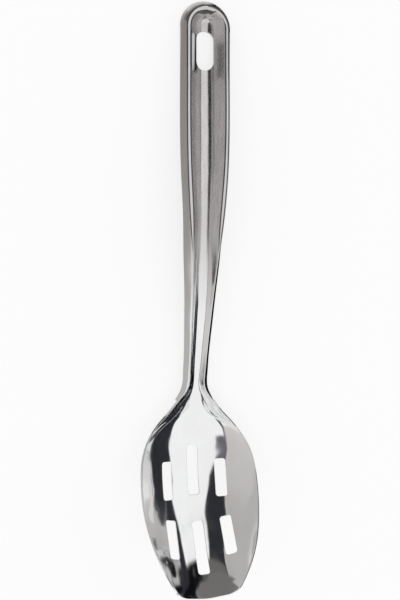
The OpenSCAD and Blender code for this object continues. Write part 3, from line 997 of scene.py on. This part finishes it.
def card_material(name, shade, shade_far, seen):
    """A plain card that fades out over its edge, seen in all reflections or only in some."""
    after_first = 1.5
    material, tree = new_material(name)
    tree.nodes.clear()
    fade = make_node(tree, "ShaderNodeAttribute", attribute_name="fade").outputs["Fac"]
    colour = blended(tree, fade, (*shade, 1), (*shade_far, 1))
    glow = make_node(tree, "ShaderNodeEmission", Color=colour, Strength=1.0)
    clear = tree.nodes.new("ShaderNodeBsdfTransparent")
    cover = make_node(tree, "ShaderNodeAttribute", attribute_name="cover").outputs["Fac"]
    if seen in ("first", "deep"):
        depth = tree.nodes.new("ShaderNodeLightPath").outputs["Glossy Depth"]
        step = maths(tree, "GREATER_THAN" if seen == "deep" else "LESS_THAN", depth, after_first)
        cover = maths(tree, "MULTIPLY", cover, step)
    if seen == "front":
        back = tree.nodes.new("ShaderNodeNewGeometry").outputs["Backfacing"]
        cover = maths(tree, "MULTIPLY", cover, maths(tree, "SUBTRACT", 1.0, back))
    mix = make_node(tree, "ShaderNodeMixShader", cover, clear.outputs[0], glow.outputs[0])
    make_node(tree, "ShaderNodeOutputMaterial", mix.outputs[0])
    return material


def overhead(flat):
    """Places far from the spoon, from degrees across and along from straight over the bowl."""
    reach, centre = 3.0, (0, -0.08, 0.02)
    tilt = np.radians(np.hypot(*flat.T))
    turn = np.arctan2(flat[:, 1], flat[:, 0])
    away = np.stack([np.sin(tilt) * np.cos(turn), np.sin(tilt) * np.sin(turn), np.cos(tilt)], -1)
    return reach * away + centre


def standing(x):
    """Along the spoon and up, at place x beside it."""
    return lambda flat: np.stack([np.full(len(flat), x), flat[:, 0], flat[:, 1]], -1)


def leaning(y):
    """Across the spoon and up, leaning back towards the handle from place y on the floor."""
    lean = 0.8
    return lambda flat: np.stack([flat[:, 0], y + lean * flat[:, 1], flat[:, 1]], -1)


def lying(z):
    """Across and along the spoon, at height z."""
    return lambda flat: np.stack([flat[:, 0], flat[:, 1], np.full(len(flat), z)], -1)


def studio_card(name, corners, shade, softness, place, gap, shade_far=None, seen="all"):
    """A card beside the spoon or far from it, seen only in the steel. Its shade may change along it."""
    corners = np.array(corners, float)
    low, high = corners.min(0) - softness, corners.max(0) + softness
    gx, gy = np.arange(low[0], high[0] + gap, gap), np.arange(low[1], high[1] + gap, gap)
    flat = np.stack(np.meshgrid(gx, gy), -1).reshape(-1, 2)
    away = distance(flat, corners) * np.where(inside(flat, corners), 1, -1)
    cover = np.clip(0.5 + away / softness, 0, 1)
    fade = ramp(flat[:, 1], low[1], high[1])
    n = len(gx)
    quads = [(i, i + 1, i + n + 1, i + n) for i in range(len(flat) - n) if (i + 1) % n]
    quads = [q for q in quads if max(cover[list(q)]) > 0]
    mesh = bpy.data.meshes.new(name)
    mesh.from_pydata(place(flat).tolist(), [], quads)
    for label, values in (("cover", cover), ("fade", fade)):
        mesh.attributes.new(label, "FLOAT", "POINT").data.foreach_set("value", values.astype(np.float32))
    mesh.materials.append(card_material(name, shade, shade_far or shade, seen))
    card = bpy.data.objects.new(name, mesh)
    bpy.context.scene.collection.objects.link(card)
    card.visible_camera = False
    card.visible_diffuse = False


class SPOON_OT_bowl(bpy.types.Operator):
    """Builds the bowl with its six drain slots"""
    bl_idname = "spoon.bowl"
    bl_label = "Bowl"

    def execute(self, context):
        mesh = bowl_skin(FORM).mesh("bowl_sheet")
        place_object("bowl_sheet", mesh, steel_material("polished steel"), "bowl")
        return {"FINISHED"}


class SPOON_OT_handle(bpy.types.Operator):
    """Builds the flanged handle as its neck, its grip and the end with the hanging slot"""
    bl_idname = "spoon.handle"
    bl_label = "Handle"

    def execute(self, context):
        skin = handle_skin(FORM)
        s = FORM.total / 2 - np.concatenate(skin.points)[:, 1]
        rows = FORM.rows()
        end_to = rows[np.argmin(abs(rows - FORM.hang_end_to))]
        neck_from = rows[np.argmin(abs(rows - FORM.neck_from))]
        slack = 0.01 * MM
        for node, keep, name, slot in (
                ("hanging_end", s < end_to + slack, "brushed steel", "brushed_steel"),
                ("grip", (s > end_to - slack) & (s < neck_from + slack), "brushed steel", "brushed_steel"),
                ("neck", s > neck_from - slack, "polished steel", "polished_steel")):
            mesh = skin.mesh(node + "_sheet", keep, painted_reflection_marks)
            place_object(node + "_sheet", mesh, steel_material(name), node)
        return {"FINISHED"}


# Corners of the far cards, in degrees across and along from straight overhead
DARK_STRIP = [(-46, 7), (-22, 7), (-17, 15), (-6, 43), (1, 57), (1, 62), (-46, 62)]
STRIP_FOOT = [(-46, -3), (-41, -2), (-33, 0.5), (-25, 3.5), (-22, 9), (-46, 9)]
WALL_EDGE = [(-43.5, 0), (-43.3, -14), (-42.5, -22), (-39, -32), (-34.5, -45), (-29.5, -60), (-23.5, -68),
             (-25, -75), (-32, -73), (-38, -62), (-42.8, -44), (-46.5, -31), (-47.5, -21), (-48, -14),
             (-50, 0)]
GREY_END = [(-46, 58), (0, 58.5), (21, 58.5), (24, 80), (-50, 80)]
DARK_END = [(21, 58), (30, 56.5), (39, 54.5), (56, 50), (61, 47.5), (67, 42), (80, 32), (96, 24), (96, 60),
            (60, 78), (21, 80)]
DEEP_GREY = [(-12, 30), (-12, 62), (26, 62.3), (26.6, 56.5), (45, 56), (45, 28), (20, 28)]
DEEP_BLACK = [(-2, 62.8), (26, 62.8), (27, 57), (34, 56.5), (36, 64), (28, 74), (-2, 74)]
GREY_WALL = [(-46.5, -34), (-46.5, 58), (-42, 75), (-70, 75), (-95, 50), (-105, 0), (-95, -45), (-60, -48)]
# Corners of the near cards: along the spoon and up, or across and along it
SIDE_FLAG = [(0.07, -0.01), (0.07, 0.085), (0.03, 0.093), (-0.01, 0.105), (-0.05, 0.125), (-0.085, 0.178),
             (-0.6, 0.18), (-0.6, -0.01)]
HANDLE_FLAG = [(0.04, 0.04), (0.10, 0.14), (0.3, 0.16), (0.3, 0.04)]
LOW_FLAG = [(0.04, 0.04), (0.10, 0.10), (0.3, 0.105), (0.3, 0.04)]
LEFT_SCREEN = [(-0.5, -0.01), (-0.5, 0.06), (1.0, 0.12), (1.0, -0.01)]
DEEP_CARD = [(0.01, -0.24), (0.015, -0.06), (0.02, 0.018), (0.041, 0.018), (0.05, -0.005), (0.057, -0.04),
             (0.066, -0.075), (0.075, -0.10), (0.10, -0.125), (0.16, -0.13), (0.16, -0.24)]
TIP_BLACK = [(0.013, 0.064), (0.018, 0.072), (0.03, 0.082), (0.045, 0.092), (0.05, 0.12), (0.15, 0.12),
             (0.15, 0.064)]
TIP_GREY = [(-0.042, 0.066), (-0.044, 0.075), (-0.075, 0.08), (-0.1, 0.085), (-0.1, 0.14), (0.05, 0.14),
            (0.05, 0.12), (0.045, 0.092), (0.03, 0.082), (0.018, 0.072), (0.013, 0.064), (-0.015, 0.064)]
LEFT_FLOOR = [(-0.4, -0.08), (-0.014, -0.07), (-0.016, 0.18), (0.0, 0.2), (0.0, 0.4), (-0.4, 0.4)]
END_FLOOR = [(-0.05, 0.17), (-0.0185, 0.165), (-0.0135, 0.172), (-0.0065, 0.1755), (0.002, 0.1765),
             (0.01, 0.175), (0.016, 0.172), (0.022, 0.18), (0.03, 0.2), (0.03, 0.27), (-0.05, 0.27)]
LIGHT_FLOOR = [(-0.2, -0.08), (-0.0345, -0.08), (-0.0345, 0.03), (-0.037, 0.06), (-0.2, 0.06)]
RIGHT_FLOOR = [(0.03, -0.4), (0.4, -0.4), (0.4, 0.1), (0.03, 0.1)]
TIP_FLOOR = [(0.076, -0.16), (0.078, -0.1335), (0.09, -0.1305), (0.1, -0.1275), (0.112, -0.122),
             (0.13, -0.112), (0.2, -0.105), (0.2, -0.16)]
NECK_FLOOR = [(0.004, -0.072), (0.07, -0.072), (0.07, 0.3), (0.004, 0.3)]

# The cards' colours, from black to nearly white
BLACK, SLATE = (0.005, 0.005, 0.007), (0.029, 0.03, 0.036)
SOOT, DUSK = (0.1, 0.094, 0.09), (0.135, 0.125, 0.145)
ASH, WARM_ASH, TIP_ASH = (0.155, 0.148, 0.14), (0.16, 0.15, 0.14), (0.18, 0.172, 0.165)
STONE, WARM_GREY = (0.2, 0.19, 0.2), (0.42, 0.405, 0.395)
SCREEN_GREY, FLOOR_GREY, DEEP_SHADE = (0.5, 0.485, 0.475), (0.53, 0.515, 0.5), (0.56, 0.545, 0.535)
WARM_LIGHT, DEEP_LIGHT, PALE = (0.74, 0.715, 0.705), (0.74, 0.72, 0.715), (0.96, 0.955, 0.95)

# Each card's name, corners, colour, width of its soft border, plane and mesh size, in the plane's own units,
# then its colour at the far end and which reflections show it, where these aren't its colour and all
CARDS = [
    ("dark strip card", DARK_STRIP, SLATE, 2.5, overhead, 1.2),
    ("strip foot card", STRIP_FOOT, DUSK, 2.0, overhead, 1.0),
    ("wall edge card", WALL_EDGE, SLATE, 1.6, overhead, 0.8, STONE),
    ("grey end card", GREY_END, ASH, 3.0, overhead, 1.5, ASH, "first"),
    ("dark end card", DARK_END, BLACK, 2.5, overhead, 1.5, BLACK, "first"),
    ("deep grey card", DEEP_GREY, DEEP_LIGHT, 2.0, overhead, 1.2, DEEP_SHADE, "deep"),
    ("deep black card", DEEP_BLACK, BLACK, 1.5, overhead, 0.9, BLACK, "deep"),
    ("grey wall card", GREY_WALL, WARM_LIGHT, 2.5, overhead, 1.5, WARM_GREY),
    ("side flag", SIDE_FLAG, SLATE, 0.012, standing(0.2), 0.006),
    ("handle flag", HANDLE_FLAG, ASH, 0.02, standing(0.15), 0.01),
    ("low flag", LOW_FLAG, ASH, 0.02, standing(-0.15), 0.01),
    ("left screen", LEFT_SCREEN, SCREEN_GREY, 0.02, standing(-0.45), 0.02),
    ("second reflections", DEEP_CARD, SLATE, 0.006, lying(0.15), 0.003, SLATE, "deep"),
    ("black tip card", TIP_BLACK, BLACK, 0.003, leaning(-0.17), 0.0015, BLACK, "front"),
    ("grey tip card", TIP_GREY, TIP_ASH, 0.003, leaning(-0.1698), 0.0015, TIP_ASH, "front"),
    ("left floor card", LEFT_FLOOR, FLOOR_GREY, 0.004, lying(0.0003), 0.004, WARM_ASH),
    ("light floor card", LIGHT_FLOOR, PALE, 0.006, lying(0.0006), 0.002),
    ("end floor card", END_FLOOR, SOOT, 0.003, lying(0.0006), 0.0015),
    ("right floor card", RIGHT_FLOOR, WARM_LIGHT, 0.02, lying(0.0003), 0.01),
    ("tip floor card", TIP_FLOOR, BLACK, 0.004, lying(0.0006), 0.002),
    ("neck floor card", NECK_FLOOR, BLACK, 0.004, lying(0.0006), 0.003),
]

# The camera that the photograph's outline gives, with lengths in the picture in its pixels
PICTURE_HEIGHT, FOCAL_LENGTH, SHIFT_RIGHT, SHIFT_UP = 600, 654.3, -0.9, 0.5
SENSOR_WIDTH = 36
CAMERA_PLACE = Vector((-0.0992, 0.05375, 0.3937))
CAMERA_RIGHT, CAMERA_UP = Vector((0.9681, 0.0368, 0.2477)), Vector((0, 0.98913, -0.14701))
CAMERA_BACK, CAMERA_ROLL = Vector((-0.25038, 0.14233, 0.95763)), math.atan2(8, 2530)


def build_floor(colour):
    """A pale floor that the camera and the steel see mostly as plain white, with part of the soft shadow."""
    half, white_share = 4.0, 0.72
    mesh = bpy.data.meshes.new("floor")
    corners = [(-half, -half, 0), (half, -half, 0), (half, half, 0), (-half, half, 0)]
    mesh.from_pydata(corners, [], [(0, 1, 2, 3)])
    floor = bpy.data.objects.new("floor", mesh)
    bpy.context.scene.collection.objects.link(floor)
    material, tree = new_material("floor")
    shader = tree.nodes["Principled BSDF"]
    shader.inputs["Base Color"].default_value = (*colour, 1)
    shader.inputs["Roughness"].default_value = 0.9
    shader.inputs["Specular IOR Level"].default_value = 0.1
    path = tree.nodes.new("ShaderNodeLightPath").outputs
    seen = maths(tree, "MAXIMUM", path["Is Camera Ray"], path["Is Glossy Ray"])
    seen = maths(tree, "MAXIMUM", seen, path["Is Transmission Ray"])
    white = make_node(tree, "ShaderNodeEmission", Color=(1, 1, 1, 1), Strength=1.0)
    mix = make_node(tree, "ShaderNodeMixShader", maths(tree, "MULTIPLY", seen, white_share),
                    shader.outputs[0], white.outputs[0])
    feed(tree, tree.nodes["Material Output"].inputs["Surface"], mix.outputs[0])
    mesh.materials.append(material)


def build_light(level):
    """A plain soft light from all sides."""
    world = bpy.data.worlds.new("soft light")
    bpy.context.scene.world = world
    world.use_nodes = True
    light = world.node_tree.nodes["Background"].inputs
    light["Color"].default_value = (1, 1, 1, 1)
    light["Strength"].default_value = level
    world.cycles.sampling_method = "NONE"


def build_camera():
    """The photograph's camera."""
    lens = bpy.data.cameras.new("camera")
    camera = bpy.data.objects.new("camera", lens)
    bpy.context.scene.collection.objects.link(camera)
    lens.sensor_fit = "AUTO"
    lens.sensor_width = SENSOR_WIDTH
    lens.lens = SENSOR_WIDTH * FOCAL_LENGTH / PICTURE_HEIGHT
    lens.clip_start, lens.clip_end = 0.01, 20
    lens.shift_x, lens.shift_y = SHIFT_RIGHT / PICTURE_HEIGHT, SHIFT_UP / PICTURE_HEIGHT
    cos, sin = math.cos(CAMERA_ROLL), math.sin(CAMERA_ROLL)
    right, up = CAMERA_RIGHT * cos - CAMERA_UP * sin, CAMERA_RIGHT * sin + CAMERA_UP * cos
    turn = Matrix((right, up, CAMERA_BACK)).transposed().to_4x4()
    camera.matrix_world = Matrix.Translation(CAMERA_PLACE) @ turn
    bpy.context.scene.camera = camera


class SPOON_OT_stage(bpy.types.Operator):
    """Builds the floor, the soft light, the studio cards and the camera"""
    bl_idname = "spoon.stage"
    bl_label = "Studio"

    def execute(self, context):
        finish = context.scene.spoon_finish
        build_floor(finish.floor_colour)
        build_light(finish.lamp_level)
        for card in CARDS:
            studio_card(*card)
        build_camera()
        context.scene.view_settings.view_transform = "Standard"
        return {"FINISHED"}


class SPOON_PT_panel(bpy.types.Panel):
    """Sizes, finishes and pieces of the spoon"""
    bl_label = "Slotted serving spoon"
    bl_idname = "SPOON_PT_panel"
    bl_space_type = "VIEW_3D"
    bl_region_type = "UI"
    bl_category = "Spoon"

    def draw(self, context):
        for group in (context.scene.spoon_sizes, context.scene.spoon_finish):
            box = self.layout.box()
            for name in group.bl_rna.properties.keys():
                if name not in ("rna_type", "name"):
                    box.prop(group, name)
        for operator in OPERATORS:
            self.layout.operator(operator.bl_idname)


OPERATORS = (SPOON_OT_bowl, SPOON_OT_handle, SPOON_OT_stage)
CLASSES = (SpoonSizes, SpoonFinish) + OPERATORS + (SPOON_PT_panel,)


def register():
    for cls in CLASSES:
        bpy.utils.register_class(cls)
    bpy.types.Scene.spoon_sizes = PointerProperty(type=SpoonSizes)
    bpy.types.Scene.spoon_finish = PointerProperty(type=SpoonFinish)


def unregister():
    del bpy.types.Scene.spoon_sizes
    del bpy.types.Scene.spoon_finish
    for cls in reversed(CLASSES):
        bpy.utils.unregister_class(cls)


def main():
    global FORM
    register()
    FORM = Form(bpy.context.scene.spoon_sizes)
    bpy.ops.spoon.bowl()
    bpy.ops.spoon.handle()
    bpy.ops.spoon.stage()


if __name__ == "__main__":
    main()
